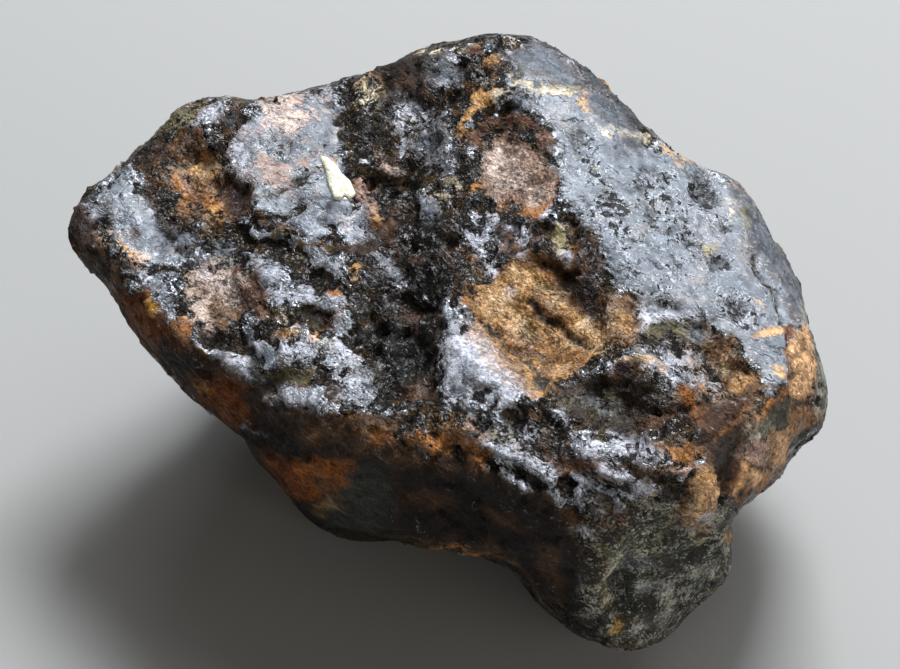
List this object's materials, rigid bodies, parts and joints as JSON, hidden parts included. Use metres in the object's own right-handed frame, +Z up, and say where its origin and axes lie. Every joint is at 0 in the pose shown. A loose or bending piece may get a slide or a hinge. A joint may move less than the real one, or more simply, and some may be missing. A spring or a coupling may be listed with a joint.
{
  "type": "chondrite meteorite",
  "caption": "Weathered stony meteorite with a dark, thumbprinted crust, a broken tan end and a small flat spot to rest on.",
  "frame": {"origin": "middle of the stone's bounding box in plan, on the plane of the flat spot it rests on", "axes": "+X along the stone's length to its blunt broken end, -Y to the steep front, +Z up out of the flat spot"},
  "size_m": [0.069, 0.0526, 0.041],
  "materials": {
    "stone": "dark weathered crust, half gloss"
  },
  "bodies": {
    "root": {"stone": "stone"}
  },
  "joints": []
}
